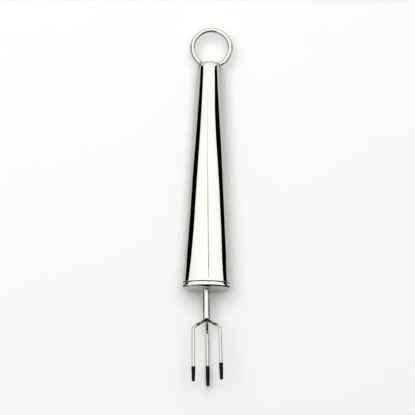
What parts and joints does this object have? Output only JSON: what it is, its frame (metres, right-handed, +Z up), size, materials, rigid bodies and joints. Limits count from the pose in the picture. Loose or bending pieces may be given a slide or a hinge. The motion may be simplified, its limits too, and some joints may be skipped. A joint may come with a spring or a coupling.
{
  "type": "potato peeling fork",
  "caption": "Slim kitchen fork with a tapered hollow steel handle, wire hanging loop and splayed pointed wire tines under pull-off tip guards, for holding a hot potato while it is peeled.",
  "frame": {"origin": "middle of the tool's box in plan, on the surface that the handle lies on", "axes": "+Y along the tool from the tines to the hanging loop, +X to the right of the loop's plane, +Z up from the surface"},
  "size_m": [0.0266, 0.2068, 0.019],
  "materials": {
    "polished_steel": "mirror-polished stainless steel",
    "bright_wire": "bright-drawn stainless steel rod and wire",
    "black_tube": "soft black PVC tube, satin"
  },
  "bodies": {
    "fork": {"handle_shell": "polished_steel", "handle_end_cap": "polished_steel", "hanging_loop": "polished_steel", "shank": "bright_wire", "tine_left": "bright_wire", "tine_right": "bright_wire", "tine_lower": "bright_wire"},
    "guard_left": {"tip_guard_left": "black_tube"},
    "guard_right": {"tip_guard_right": "black_tube"},
    "guard_lower": {"tip_guard_lower": "black_tube"}
  },
  "joints": [
    {"name": "guard_left_pull", "type": "slide", "parent": "fork", "child": "guard_left", "axis": [0.0201, -0.9961, 0.0855], "range_m": [0, 0.0095]},
    {"name": "guard_right_pull", "type": "slide", "parent": "fork", "child": "guard_right", "axis": [0.0456, -0.9947, 0.0924], "range_m": [0, 0.0115]},
    {"name": "guard_lower_pull", "type": "slide", "parent": "fork", "child": "guard_lower", "axis": [0.028, -0.9966, 0.0779], "range_m": [0, 0.0125]}
  ]
}
